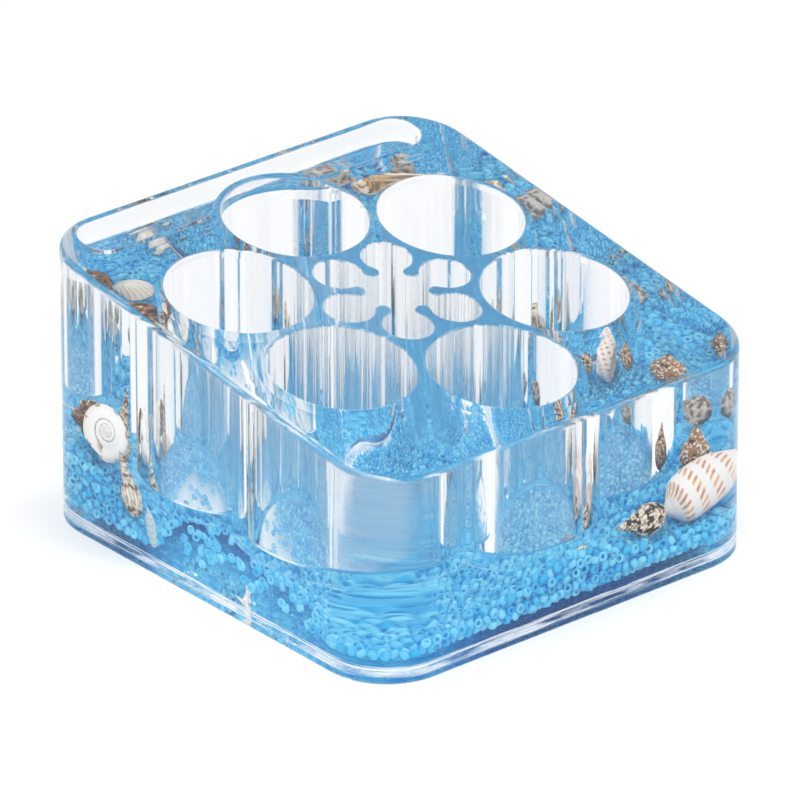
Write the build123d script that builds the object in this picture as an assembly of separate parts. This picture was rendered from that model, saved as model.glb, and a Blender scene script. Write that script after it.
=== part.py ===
from build123d import *
import os
from math import cos, exp, pi, radians, sin

# Make-up holder: a clear wedge-shaped moulding with six round wells, a flower-shaped middle well
# and a back tray. Its sealed hollow holds liquid, seed beads and sea shells.
# Millimetres. X to the right, the low front towards -Y, Z up, origin at the middle of the underside.

# Outer form
WIDTH = 108.0
DEPTH = 115.0
FRONT_HEIGHT = 47.5
BACK_HEIGHT = 65.3
CORNER_RADIUS = 15.0
WALL = 3.2
DECK = 2.8
TOP_EDGE_RADIUS = 1.2

# Six round wells on a ring that fills the deck, with a strip of deck left on every side
WELL_COUNT = 6
WELL_GAP = 2.2
WELL_SIDE_STRIP = 8.65
WELL_FRONT_STRIP = 8.2
WELL_BACK_STRIP = 7.0
WELL_WALL = 2.1
WELL_FLOOR_HEIGHT = 16.5
WELL_FLOOR = 2.1
WELL_CORNER = 1.0
RIM_RADIUS = 0.5

# Flower well: petals between the round wells, fingers with round tips between the petals.
# The sizes are shares of the ring's radius.
PETAL_RING_SHARE = 0.39
PETAL_SHARE = 0.162
FINGER_TIP_SHARE = 0.2
FLOWER_CORNER = 0.5

# Tray along the back edge, with a bulge round the rearmost well
TRAY_SIDE_STRIP = 8.0
TRAY_WIDTH = 10.8
TRAY_BACK_WALL = 2.5
TRAY_BULGE_WALL = 1.7
TRAY_DEPTH = 5.2
TRAY_FLOOR = 2.1
TRAY_END_RADIUS = 5.0
TRAY_BLEND = 8.0
TRAY_CORNER = 1.1

# Base plate, glued in from below
FLANGE = 2.0
PLATE_STEP = 2.6
GLUE_FILM = 0.2
GLUE_RISE = 1.1
BOTTOM_EDGE_RADIUS = 0.5

# Filling hole and its plug
FILL_HOLE_RADIUS = 3.0
FILL_HEAD_RADIUS = 5.0
FILL_HEAD = 1.6
FILL_FROM_RIGHT = 26.0
FILL_FROM_BACK = 27.0
PLUG_CLEARANCE = 0.1

# Seed beads
BEAD_RADIUS = 1.2
BEAD_HOLE_RADIUS = 0.5
BEAD_HEIGHT = 1.7
BEAD_SIDES = 8
BEAD_PITCH = 4.0
BARE_STRIP = 5.0
BARE_DEPTH = 1.6
TERRAIN_STEPS = 16

# Room left round a shell that lies loose
SHELL_CLEARANCE = 0.3

# Unit of the tables of heaps and shells, as a share of the ring's radius, and unit of the heaps'
# heights, as a share of the room under the cups
UNIT_SHARE = 0.02941
HEIGHT_UNIT_SHARE = 0.10204

# Length that only makes a cut or a rough block long enough
SPARE = 10.0

FLOOR = FLANGE + PLATE_STEP
WALL_BOTTOM = FLANGE + GLUE_FILM
INNER_X = WIDTH / 2 - WALL
INNER_Y = DEPTH / 2 - WALL
QUARTER_TURN = 90

# The ring is as large as the strips allow: its wells stand WELL_GAP apart, one of them at the back
STEEPEST = cos(pi / WELL_COUNT)
RING_IN_DEPTH = (DEPTH - WELL_FRONT_STRIP - WELL_BACK_STRIP + WELL_GAP) / 3
RING_IN_WIDTH = (WIDTH - 2 * WELL_SIDE_STRIP + WELL_GAP) / (2 * STEEPEST + 1)
WELL_RING_RADIUS = min(RING_IN_DEPTH, RING_IN_WIDTH)
WELL_RADIUS = (WELL_RING_RADIUS - WELL_GAP) / 2
WELL_RING_Y = DEPTH / 2 - WELL_BACK_STRIP - WELL_RADIUS - WELL_RING_RADIUS
WELL_ANGLES = [radians(QUARTER_TURN) + k * 2 * pi / WELL_COUNT for k in range(WELL_COUNT)]
WELL_CENTRES = [
    (WELL_RING_RADIUS * cos(a), WELL_RING_Y + WELL_RING_RADIUS * sin(a)) for a in WELL_ANGLES
]
PETAL_RING_RADIUS = PETAL_RING_SHARE * WELL_RING_RADIUS
PETAL_RADIUS = PETAL_SHARE * WELL_RING_RADIUS
FINGER_TIP_DISTANCE = FINGER_TIP_SHARE * WELL_RING_RADIUS
UNIT = UNIT_SHARE * WELL_RING_RADIUS
HEIGHT_UNIT = HEIGHT_UNIT_SHARE * (WELL_FLOOR_HEIGHT - WELL_FLOOR - FLOOR)
TRAY_LENGTH = WIDTH - 2 * TRAY_SIDE_STRIP
TRAY_Y = DEPTH / 2 - TRAY_BACK_WALL - TRAY_WIDTH / 2


def deck_height(y):
    """Height of the sloped deck's top face at depth y."""
    return FRONT_HEIGHT + (y + DEPTH / 2) * (BACK_HEIGHT - FRONT_HEIGHT) / DEPTH


TRAY_FLOOR_HEIGHT = deck_height(TRAY_Y + TRAY_WIDTH / 2) - TRAY_DEPTH


def wedge(plan, bottom, drop):
    """Upright prism on a plan outline, from bottom to a plane parallel to the deck and drop below it."""
    reach = DEPTH / 2 + SPARE
    side = Polygon(
        (-reach, -SPARE),
        (reach, -SPARE),
        (reach, deck_height(reach) - drop),
        (-reach, deck_height(-reach) - drop),
        align=None,
    )
    slab = extrude(Plane.YZ * side, WIDTH / 2 + SPARE, both=True)
    return extrude(Plane.XY.offset(bottom) * plan, BACK_HEIGHT + SPARE) & slab


def rounded_plan(inset):
    """The holder's plan outline, drawn in from the outer faces by inset."""
    return RectangleRounded(WIDTH - 2 * inset, DEPTH - 2 * inset, CORNER_RADIUS - inset)


def flower_plan():
    """Six petals open to the middle, with a round-tipped finger between each two."""
    step = 2 * pi / WELL_COUNT
    along = PETAL_RING_RADIUS * cos(step / 2) - FINGER_TIP_DISTANCE
    across = PETAL_RING_RADIUS * sin(step / 2)
    tip = (along**2 + across**2 - PETAL_RADIUS**2) / (2 * (along + PETAL_RADIUS))

    def polar(radius, angle):
        return Vector(radius * cos(angle), WELL_RING_Y + radius * sin(angle))

    def touch(petal, finger):
        return petal + (finger - petal) * (PETAL_RADIUS / (PETAL_RADIUS + tip))

    edges = []
    for k in range(WELL_COUNT):
        petal = polar(PETAL_RING_RADIUS, k * step)
        after = polar(PETAL_RING_RADIUS, (k + 1) * step)
        left = polar(FINGER_TIP_DISTANCE + tip, (k - 0.5) * step)
        right = polar(FINGER_TIP_DISTANCE + tip, (k + 0.5) * step)
        crown = polar(PETAL_RING_RADIUS + PETAL_RADIUS, k * step)
        point = polar(FINGER_TIP_DISTANCE, (k + 0.5) * step)
        edges.append(ThreePointArc(touch(petal, left), crown, touch(petal, right)))
        edges.append(ThreePointArc(touch(petal, right), point, touch(after, right)))
    return make_face(edges)


def tray_plan():
    """Long rounded slot, bitten into by the wall of the rearmost well, with soft blends."""
    slot = Pos(0, TRAY_Y) * RectangleRounded(TRAY_LENGTH, TRAY_WIDTH, TRAY_END_RADIUS)
    near = WELL_RADIUS + TRAY_BULGE_WALL
    bitten = slot - Pos(*WELL_CENTRES[0]) * Circle(near)
    front = TRAY_Y - TRAY_WIDTH / 2
    bites = [v for v in bitten.vertices() if abs(v.Y - front) < 0.01 and abs(v.X) < near]
    return fillet(bites, TRAY_BLEND)


def cup_block():
    """What stands in the hollow under the deck: the six cups and the solid web between them."""
    web = Pos(0, WELL_RING_Y) * Circle(WELL_RING_RADIUS * STEEPEST)
    plan = web + [Pos(*c) * Circle(WELL_RADIUS + WELL_WALL) for c in WELL_CENTRES]
    return wedge(plan, WELL_FLOOR_HEIGHT - WELL_FLOOR, DECK / 2)


def tray_block():
    """The tray's basin under the deck, inside the outer walls."""
    length = TRAY_LENGTH + 2 * WELL_WALL
    width = TRAY_WIDTH + 2 * WELL_WALL
    plan = Pos(0, TRAY_Y) * RectangleRounded(length, width, TRAY_END_RADIUS + WELL_WALL)
    return wedge(plan & rounded_plan(WALL / 2), TRAY_FLOOR_HEIGHT - TRAY_FLOOR, DECK / 2)


def blind_cut(plan, floor, corner):
    """Cutter for a well or tray, open at the top, with a rounded inner corner at its floor."""
    cut = extrude(Plane.XY.offset(floor) * plan, BACK_HEIGHT + SPARE - floor)
    return fillet(cut.faces().sort_by(Axis.Z)[0].edges(), corner)


def body_moulding(cups, basin):
    body = wedge(rounded_plan(0), WALL_BOTTOM, 0) - wedge(rounded_plan(WALL), WALL_BOTTOM, DECK)
    body = body + cups + basin
    for centre in WELL_CENTRES:
        body -= blind_cut(Pos(*centre) * Circle(WELL_RADIUS), WELL_FLOOR_HEIGHT, WELL_CORNER)
    body -= blind_cut(flower_plan(), WELL_FLOOR_HEIGHT, FLOWER_CORNER)
    body -= blind_cut(tray_plan(), TRAY_FLOOR_HEIGHT, TRAY_CORNER)
    deck = deck_face(body)
    rims = [edge for wire in deck.inner_wires() for edge in wire.edges()]
    body = fillet(rims, RIM_RADIUS)
    return fillet(deck_face(body).outer_wire().edges(), TOP_EDGE_RADIUS)


def deck_face(body):
    """The body's top face: the largest of the flat ones that face up and to the front."""
    flat = body.faces().filter_by(GeomType.PLANE)
    sloped = [face for face in flat if face.normal_at().Z > 0 > face.normal_at().Y]
    return max(sloped, key=lambda face: face.area)


def fill_place():
    return Pos(WIDTH / 2 - FILL_FROM_RIGHT, DEPTH / 2 - FILL_FROM_BACK)


def stepped_pin(grow):
    """The plug's head and shank, upright from the underside, or the hole for it when grown."""
    head = extrude(Circle(FILL_HEAD_RADIUS + grow), FILL_HEAD)
    shank = extrude(Circle(FILL_HOLE_RADIUS + grow), FLOOR)
    return fill_place() * (head + shank)


def base_plate():
    flange = extrude(rounded_plan(0), FLANGE)
    flange = fillet(flange.faces().sort_by(Axis.Z)[0].edges(), BOTTOM_EDGE_RADIUS)
    step = extrude(Plane.XY.offset(FLANGE) * rounded_plan(WALL + GLUE_FILM), PLATE_STEP)
    return flange + step - stepped_pin(PLUG_CLEARANCE)


def fill_plug():
    return stepped_pin(0)


def seam_adhesive():
    """Glue film under the walls, which turns up a little way between walls and plate."""
    under = extrude(Plane.XY.offset(FLANGE) * (rounded_plan(0) - rounded_plan(WALL)), GLUE_FILM)
    lip = rounded_plan(WALL) - rounded_plan(WALL + GLUE_FILM)
    return under + extrude(Plane.XY.offset(FLANGE) * lip, GLUE_RISE)


def from_left(units):
    return units * UNIT - INNER_X


def from_right(units):
    return INNER_X - units * UNIT


def from_front(units):
    return units * UNIT - INNER_Y


def from_back(units):
    return INNER_Y - units * UNIT


# Heaps of beads: place, height in height units and reach in units
HEAPS = {
    "back left": (from_left(8.0), from_back(9.0), 17.5, 12.5),
    "back": (0.0, from_back(0.0), 9.0, 16.0),
    "back right": (from_right(6.0), from_back(8.0), 15.5, 15.0),
    "right": (from_right(2.0), from_front(29.3), 14.0, 11.0),
    "middle right": (from_right(2.0), WELL_RING_Y, 11.0, 12.0),
    "middle": (6.0 * UNIT, WELL_RING_Y, 6.0, 26.0),
    "hollow on the left": (from_left(20.8), WELL_RING_Y + 11.4 * UNIT, -4.5, 11.0),
    "front left": (from_left(10.0), from_front(4.0), 4.0, 12.0),
    "front": (UNIT, from_front(1.0), 12.0, 19.0),
    "front right": (from_right(8.0), from_front(4.0), 5.5, 14.0),
}


def bed_height(x, y):
    """Height of the heaped beads; below FLOOR where the plate is bare."""
    height = FLOOR - BARE_DEPTH
    for heap_x, heap_y, top, reach in HEAPS.values():
        away = ((x - heap_x) ** 2 + (y - heap_y) ** 2) / (reach * UNIT) ** 2
        height += top * HEIGHT_UNIT * exp(-away / 2)
    return height


def bed_block():
    """Everything below the smooth surface of the heaps."""
    reach_x = WIDTH / 2 + SPARE
    reach_y = DEPTH / 2 + SPARE
    spans = [2 * k / TERRAIN_STEPS - 1 for k in range(TERRAIN_STEPS + 1)]
    points = [
        [Vector(reach_x * u, reach_y * v, bed_height(reach_x * u, reach_y * v)) for v in spans]
        for u in spans
    ]
    top = Face.make_surface_from_array_of_points(points)
    return Solid.extrude(top, Vector(0, 0, -BACK_HEIGHT))


def bare_at(x, y):
    """Whether the heaps leave the plate bare all round a bead at x, y."""
    sides = (-BEAD_RADIUS, BEAD_RADIUS)
    return max(bed_height(x + u, y + v) for u in sides for v in sides) < FLOOR


def bead_places():
    """Where single beads lie flat on the bare floor, on a staggered grid left of the middle."""
    inside = rounded_plan(WALL + BARE_STRIP).face()
    rows = int(INNER_Y / BEAD_PITCH)
    columns = int(INNER_X / BEAD_PITCH)
    places = []
    for row in range(-rows, rows + 1):
        for column in range(-columns, 0):
            x = (column + 0.5 * (row % 2)) * BEAD_PITCH
            y = row * BEAD_PITCH
            if bare_at(x, y) and inside.is_inside((x, y, 0)):
                places.append(Pos(x, y, FLOOR))
    return places


def loose_beads():
    outer = RegularPolygon(BEAD_RADIUS, BEAD_SIDES)
    bead = extrude(outer - RegularPolygon(BEAD_HOLE_RADIUS, BEAD_SIDES), BEAD_HEIGHT)
    return Compound([(place * bead).solid() for place in bead_places()])


# Coiled shells lie with their length along apex, their mouth turned to mouth, and their middle
# rise above the bed at x, y. Length, width and rise are in units, and spire is a share of the length.
COILED_SHELLS = {
    "moon_shell": dict(
        length=10.0, width=12.6, whorls=4, spire=0.25, x=from_left(6.6), y=from_back(15.8),
        rise=5.6, apex=(-0.85, -0.30, 0.35), mouth=(0.0, 0.3, -1.0),
    ),
    "ribbed_whelk": dict(
        length=14.5, width=5.2, whorls=6, spire=0.55, x=from_left(3.1), y=from_back(25.6),
        rise=6.4, apex=(0.05, 0.42, 0.90), mouth=(-1.0, 0.0, 0.0),
    ),
    "pale_olive": dict(
        length=9.0, width=3.0, whorls=3, spire=0.25, x=from_left(1.9), y=from_back(33.8),
        rise=4.3, apex=(0.0, 0.25, 0.97), mouth=(-1.0, 0.0, 0.0),
    ),
    "brown_murex": dict(
        length=15.5, width=8.4, whorls=5, spire=0.45, x=from_left(13.8), y=from_back(5.7),
        rise=3.4, apex=(-0.97, 0.05, 0.22), mouth=(0.0, -0.5, -0.8),
    ),
    "speckled_auger": dict(
        length=19.0, width=6.0, whorls=8, spire=0.68, x=from_left(19.3), y=from_back(14.3),
        rise=8.2, apex=(0.05, -0.16, 0.98), mouth=(-0.8, -0.6, 0.0),
    ),
    "striped_bonnet": dict(
        length=20.0, width=12.8, whorls=4, spire=0.20, x=from_right(11.3), y=from_front(8.3),
        rise=5.0, apex=(-0.95, -0.05, -0.28), mouth=(0.3, 0.9, -0.3),
    ),
    "mottled_nassa": dict(
        length=13.0, width=7.0, whorls=5, spire=0.48, x=from_right(28.8), y=from_front(4.9),
        rise=3.0, apex=(-0.98, 0.12, 0.02), mouth=(0.0, 0.8, -0.6),
    ),
    "buried_nassa": dict(
        length=8.0, width=4.6, whorls=5, spire=0.48, x=5.5 * UNIT, y=from_front(7.3),
        rise=-3.7, apex=(-0.95, 0.30, 0.05), mouth=(0.0, 0.2, -1.0),
    ),
    "mottled_turban": dict(
        length=11.0, width=7.6, whorls=4, spire=0.42, x=from_right(5.6), y=from_front(21.4),
        rise=4.4, apex=(0.10, 0.10, 0.99), mouth=(-0.5, -0.9, 0.0),
    ),
    "grey_whelk": dict(
        length=14.0, width=6.4, whorls=6, spire=0.52, x=from_right(4.2), y=WELL_RING_Y,
        rise=2.8, apex=(0.05, 0.99, 0.05), mouth=(-0.6, 0.0, -0.8),
    ),
    "grey_turban": dict(
        length=10.5, width=8.6, whorls=4, spire=0.38, x=from_right(10.0), y=from_back(15.6),
        rise=4.0, apex=(0.35, -0.35, 0.87), mouth=(-0.9, 0.2, -0.3),
    ),
    "banded_nerite": dict(
        length=8.0, width=7.0, whorls=3, spire=0.25, x=from_right(7.4), y=from_back(5.8),
        rise=3.2, apex=(-0.70, 0.10, 0.70), mouth=(0.4, -0.9, -0.2),
    ),
}

# A coiled shell's proportions, as shares of its half width or of its body's length
APEX_SHARE = 0.06
SUTURE_SHARE = 0.78
CANAL_SHARE = 0.22
BELLY_SHARE = 0.32
WHORL_BULGE = 0.14
SPIRE_CURVE = 1.3
MOUTH_DEPTH_SHARE = 0.55
MOUTH_LENGTH_SHARE = 0.36
MOUTH_WIDTH_SHARE = 0.32

# Ribbed valve of a cockle, lying hollow side down
COCKLE_RADIUS = 5.0
COCKLE_HEIGHT = 3.6
COCKLE_WALL = 0.9
COCKLE_RIBS = 20
COCKLE_NOTCH = 0.35
COCKLE_X = from_left(27.4)
COCKLE_Y = from_back(5.6)
COCKLE_TILT = 12.0


def coil_levels(length, spire):
    """Heights of a coiled shell's apex, last suture and belly, from its middle."""
    top = length / 2
    shoulder = top - spire * length
    belly = shoulder - BELLY_SHARE * (1 - spire) * length
    return top, shoulder, belly


def body_arcs(upper, lower, half, shoulder, foot):
    """Last whorl's outline, in two quarter ellipses that meet at the belly."""
    belly = upper[1]
    above = EllipticalCenterArc(upper, half - upper[0], shoulder - belly, arc_size=QUARTER_TURN)
    below = EllipticalCenterArc(
        lower, half - lower[0], belly - foot, start_angle=-QUARTER_TURN, arc_size=QUARTER_TURN
    )
    return [above, below]


def coiled_shell(length, width, whorls, spire):
    """A coiled shell, apex up, turned from bulging whorls, with a hollow mouth facing +X."""
    top, shoulder, belly = coil_levels(length, spire)
    half = width / 2
    inner = SUTURE_SHARE * half
    canal = CANAL_SHARE * half
    sutures = []
    for k in range(whorls + 1):
        share = (k / whorls) ** SPIRE_CURVE
        radius = (APEX_SHARE + (SUTURE_SHARE - APEX_SHARE) * share) * half
        sutures.append(Vector(radius, top - (top - shoulder) * k / whorls))
    edges = [Line((0, top), sutures[0])]
    for above, below in zip(sutures, sutures[1:]):
        chord = below - above
        out = Vector(-chord.Y, chord.X).normalized()
        bulge = (above + below) / 2 + out * WHORL_BULGE * chord.length
        edges.append(ThreePointArc(above, bulge, below))
    edges.extend(body_arcs((inner, belly), (canal, belly), half, shoulder, -top))
    edges.append(Line((canal, -top), (0, -top)))
    edges.append(Line((0, -top), (0, top)))
    turned = revolve(Plane.XZ * make_face(edges), Axis.Z)
    deepest = ((1 - MOUTH_DEPTH_SHARE) * half, 0, (belly - top) / 2)
    mouth_face = Plane(origin=deepest, x_dir=(0, 0, 1), z_dir=(1, 0, 0))
    mouth = mouth_face * Ellipse(MOUTH_LENGTH_SHARE * (belly + top), MOUTH_WIDTH_SHARE * half)
    return turned - extrude(mouth, width)


def coil_pocket(length, width, spire):
    """Room for a coiled shell: a plain turned block that clears it all round."""
    top, shoulder, belly = coil_levels(length, spire)
    half = width / 2
    inner = SUTURE_SHARE * half
    canal = CANAL_SHARE * half
    room = SHELL_CLEARANCE
    neck = Vector(inner + room, shoulder + room)
    foot = Vector(canal, -top - room)
    tip = Vector(APEX_SHARE * half + room, top + room)
    edges = body_arcs((neck.X, belly), (canal, belly), half + room, neck.Y, foot.Y)
    edges.append(Polyline(neck, tip, (0, top + room), (0, -top - room), foot))
    return revolve(Plane.XZ * make_face(edges), Axis.Z)


def shell_place(shell):
    x, y = shell["x"], shell["y"]
    middle = (x, y, bed_height(x, y) + shell["rise"] * UNIT)
    return Plane(origin=middle, x_dir=shell["mouth"], z_dir=shell["apex"])


def cockle_place():
    height = bed_height(COCKLE_X, COCKLE_Y)
    return Pos(COCKLE_X, COCKLE_Y, height) * Rot(COCKLE_TILT, 0, 0)


def cap(radius, height):
    """Cut of a ball, flat side down, with its rim at height 0."""
    ball = (radius**2 + height**2) / (2 * height)
    block = extrude(Circle(radius + SPARE), ball)
    return Pos(0, 0, height - ball) * Sphere(ball) & block


def cockle_valve():
    inside = cap(COCKLE_RADIUS - COCKLE_WALL, COCKLE_HEIGHT - COCKLE_WALL)
    valve = cap(COCKLE_RADIUS, COCKLE_HEIGHT) - inside
    notch = extrude(Circle(COCKLE_NOTCH), COCKLE_HEIGHT)
    return cockle_place() * (valve - PolarLocations(COCKLE_RADIUS, COCKLE_RIBS) * notch)


def cockle_pocket():
    room = SHELL_CLEARANCE
    block = cap(COCKLE_RADIUS + 2 * room, COCKLE_HEIGHT + 2 * room)
    return cockle_place() * (Pos(0, 0, -room) * block)


def build():
    cups = cup_block()
    basin = tray_block()
    space = wedge(rounded_plan(WALL), FLOOR, DECK) - cups - basin
    heaps = bed_block()
    pockets = [cockle_pocket()]
    nodes = {
        "body_moulding": body_moulding(cups, basin),
        "base_plate": base_plate(),
        "seam_adhesive": seam_adhesive(),
        "fill_plug": fill_plug(),
        "loose_beads": loose_beads(),
        "cockle_valve": cockle_valve(),
    }
    for name, shell in COILED_SHELLS.items():
        place = shell_place(shell)
        length, width, spire = shell["length"] * UNIT, shell["width"] * UNIT, shell["spire"]
        nodes[name] = place * coiled_shell(length, width, shell["whorls"], spire)
        pockets.append(place * coil_pocket(length, width, spire))
    bead_room = extrude(RegularPolygon(BEAD_RADIUS, BEAD_SIDES), BEAD_HEIGHT)
    nodes["bead_bed"] = (space & heaps) - pockets
    nodes["liquid_fill"] = space - heaps - pockets - [place * bead_room for place in bead_places()]
    return nodes


os.makedirs("parts", exist_ok=True)
for node, solid in build().items():
    export_step(solid, f"parts/{node}.step")
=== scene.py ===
import math

import bpy
import numpy as np
from mathutils import Matrix, Vector


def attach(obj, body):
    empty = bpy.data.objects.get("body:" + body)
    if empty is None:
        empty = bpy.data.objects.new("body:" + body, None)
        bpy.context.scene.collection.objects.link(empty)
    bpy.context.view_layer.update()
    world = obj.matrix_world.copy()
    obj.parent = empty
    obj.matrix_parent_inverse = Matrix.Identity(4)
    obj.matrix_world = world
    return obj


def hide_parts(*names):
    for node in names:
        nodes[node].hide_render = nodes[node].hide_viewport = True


# Looks of the clear make-up holder with beads and shells in liquid. Lengths are millimetres in the
# part's frame; meshes, materials, stage and camera are made in metres.
MM = 0.001
SEED = 7

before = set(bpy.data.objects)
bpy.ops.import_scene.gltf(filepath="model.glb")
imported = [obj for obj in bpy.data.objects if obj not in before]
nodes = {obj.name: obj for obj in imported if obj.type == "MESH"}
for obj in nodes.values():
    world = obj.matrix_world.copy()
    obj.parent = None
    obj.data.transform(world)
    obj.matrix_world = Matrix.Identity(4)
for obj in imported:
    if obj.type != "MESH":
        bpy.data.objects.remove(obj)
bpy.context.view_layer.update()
scene = bpy.context.scene
chance = np.random.default_rng(SEED)

# Sizes of the part that the looks follow
HALF_X = 54.0
HALF_Y = 57.5
CORNER = 15.0
WALL = 3.2
FRONT_HEIGHT = 47.5
BACK_HEIGHT = 65.3
DECK = 2.8
RING = 34.0
RING_Y = 0.6
WELL = 15.9
CUP = 18.0
WEB = 29.4
WELL_FLOOR = 16.5
CUP_UNDERSIDE = 14.4
TRAY_FRONT = 44.2
TRAY_END = 46.0
TRAY_FLOOR = 59.7
FLOOR = 4.6
WALL_BOTTOM = 2.2
BARE_DEPTH = 1.6
INNER_X = HALF_X - WALL
INNER_Y = HALF_Y - WALL
WELL_CENTRES = [
    (RING * math.cos(math.radians(a)), RING_Y + RING * math.sin(math.radians(a)))
    for a in range(90, 450, 60)
]

# Heaps of beads: x, y, height and reach
HEAPS = [
    (8.0 - INNER_X, INNER_Y - 9.0, 17.5, 12.5),
    (0.0, INNER_Y, 9.0, 16.0),
    (INNER_X - 6.0, INNER_Y - 8.0, 15.5, 15.0),
    (INNER_X - 2.0, 29.3 - INNER_Y, 14.0, 11.0),
    (INNER_X - 2.0, RING_Y, 11.0, 12.0),
    (6.0, RING_Y, 6.0, 26.0),
    (20.8 - INNER_X, RING_Y + 11.4, -4.5, 11.0),
    (10.0 - INNER_X, 4.0 - INNER_Y, 4.0, 12.0),
    (1.0, 1.0 - INNER_Y, 12.0, 19.0),
    (INNER_X - 8.0, 4.0 - INNER_Y, 5.5, 14.0),
]


def bed_height(x, y):
    height = FLOOR - BARE_DEPTH + 0 * x
    for heap_x, heap_y, top, reach in HEAPS:
        height = height + top * np.exp(-((x - heap_x) ** 2 + (y - heap_y) ** 2) / (2 * reach**2))
    return height


def deck_height(y):
    return FRONT_HEIGHT + (y + HALF_Y) * (BACK_HEIGHT - FRONT_HEIGHT) / (2 * HALF_Y)


def depth_in_plan(x, y, inset):
    """How far x, y lies inside the plan outline drawn in by inset; negative outside it."""
    dx = np.abs(x) - (HALF_X - CORNER)
    dy = np.abs(y) - (HALF_Y - CORNER)
    beyond = np.hypot(np.maximum(dx, 0), np.maximum(dy, 0)) + np.minimum(np.maximum(dx, dy), 0)
    return CORNER - inset - beyond


# Shader helpers

def new_material(name):
    material = bpy.data.materials.new(name)
    material.use_nodes = True
    material.node_tree.nodes.clear()
    return material, material.node_tree


def feed(tree, socket, value):
    """Links a socket to another one, or sets its value."""
    if isinstance(value, bpy.types.NodeSocket):
        tree.links.new(value, socket)
    else:
        socket.default_value = value


def add(tree, kind, **inputs):
    made = tree.nodes.new(kind)
    for key, value in inputs.items():
        feed(tree, made.inputs[key.replace("_", " ")], value)
    return made


def math_node(tree, operation, first, second):
    made = tree.nodes.new("ShaderNodeMath")
    made.operation = operation
    feed(tree, made.inputs[0], first)
    feed(tree, made.inputs[1], second)
    return made.outputs[0]


def mix_shaders(tree, share, first, second):
    made = tree.nodes.new("ShaderNodeMixShader")
    feed(tree, made.inputs[0], share)
    feed(tree, made.inputs[1], first)
    feed(tree, made.inputs[2], second)
    return made.outputs[0]


def finish_material(tree, shader):
    out = tree.nodes.new("ShaderNodeOutputMaterial")
    feed(tree, out.inputs["Surface"], shader)


def object_place(tree):
    return tree.nodes.new("ShaderNodeTexCoord").outputs["Object"]


def mesh_paint(tree):
    """The colour that lies on the mesh."""
    colour = tree.nodes.new("ShaderNodeAttribute")
    colour.attribute_name = "paint"
    return colour.outputs["Color"]


def linear(red, green, blue):
    values = np.array([red, green, blue], float) / 255
    return np.where(values <= 0.04045, values / 12.92, ((values + 0.055) / 1.055) ** 2.4)


def rgba(red, green, blue):
    return (*linear(red, green, blue), 1.0)


# Materials of the clear pieces. A painted edge highlight, a pale line with a painted dark refraction at
# its core, starts, fills and changes tone at cosines between the eased normal and the face's own.
ACRYLIC_INDEX = 1.49
LIQUID_INDEX = 1.455
ACRYLIC_TINT = (0.964, 0.969, 0.974, 1.0)
WHITE = (1.0, 1.0, 1.0, 1.0)
# Pale white of frosted glue and edges, which also serves as painted glints along the seam
FROST_AND_PAINTED_GLINT = rgba(244, 247, 250)
EDGE_EASE = 0.5 * MM
EDGE_HIGHLIGHT_SHARE = 0.8
EDGE_HIGHLIGHT_STARTS = 0.95
EDGE_HIGHLIGHT_FULL = 0.90
EDGE_HIGHLIGHT_AT = 0.87
EDGE_DARK_REFRACTION_AT = 0.79
# Colours of the painted edge highlight and of the painted dark refraction at its core
EDGE_PAINTED_HIGHLIGHT = rgba(242, 246, 249)
EDGE_PAINTED_DARK_REFRACTION = rgba(96, 120, 146)


def light_on_its_way(tree):
    """1 for rays that bring light to a surface, 0 for rays that show one."""
    path = tree.nodes.new("ShaderNodeLightPath")
    return math_node(tree, "MAXIMUM", path.outputs["Is Shadow Ray"], path.outputs["Is Diffuse Ray"])


def let_light_through(tree, shader):
    """Ends a clear material: light on its way to what lies inside goes straight through."""
    through = add(tree, "ShaderNodeBsdfTransparent", Color=WHITE)
    straight = light_on_its_way(tree)
    finish_material(tree, mix_shaders(tree, straight, shader, through.outputs[0]))


def painted_edge_highlight(tree, eased, clear):
    """A painted highlight: a fine pale line with a painted dark refraction at its core along an eased
    edge, where the normal leaves the face's.
    """
    face = tree.nodes.new("ShaderNodeNewGeometry")
    turned = tree.nodes.new("ShaderNodeVectorMath")
    turned.operation = "DOT_PRODUCT"
    feed(tree, turned.inputs[0], eased.outputs["Normal"])
    feed(tree, turned.inputs[1], face.outputs["Normal"])
    share = add(
        tree, "ShaderNodeMapRange", Value=turned.outputs["Value"], From_Min=EDGE_HIGHLIGHT_STARTS,
        From_Max=EDGE_HIGHLIGHT_FULL, To_Max=EDGE_HIGHLIGHT_SHARE,
    )
    tone = add(tree, "ShaderNodeValToRGB", Fac=turned.outputs["Value"])
    core, rim = tone.color_ramp.elements
    core.position = EDGE_DARK_REFRACTION_AT
    core.color = EDGE_PAINTED_DARK_REFRACTION
    rim.position = EDGE_HIGHLIGHT_AT
    rim.color = EDGE_PAINTED_HIGHLIGHT
    line = add(tree, "ShaderNodeBsdfDiffuse", Color=tone.outputs["Color"])
    return mix_shaders(tree, share.outputs["Result"], clear, line.outputs[0])


def clear_boundary(name, index, tint, with_painted_edge):
    """A clear boundary with eased edges; index is the ratio from behind it to in front of it."""
    material, tree = new_material(name)
    eased = add(tree, "ShaderNodeBevel", Radius=EDGE_EASE)
    glass = add(
        tree, "ShaderNodeBsdfGlass", Color=tint, Roughness=0.0, IOR=index, Normal=eased.outputs["Normal"]
    )
    shader = glass.outputs[0]
    # Painted highlight with a painted dark refraction along the eased edges
    if with_painted_edge:
        shader = painted_edge_highlight(tree, eased, shader)
    let_light_through(tree, shader)
    return material


def matched_boundary():
    """Shows nothing: acrylic against glue of the same index, and the liquid's own faces."""
    material, tree = new_material("matched_boundary")
    through = add(tree, "ShaderNodeBsdfTransparent", Color=WHITE)
    finish_material(tree, through.outputs[0])
    return material


STREAKS_PER_METRE = (60.0, 60.0, 3000.0)


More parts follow.
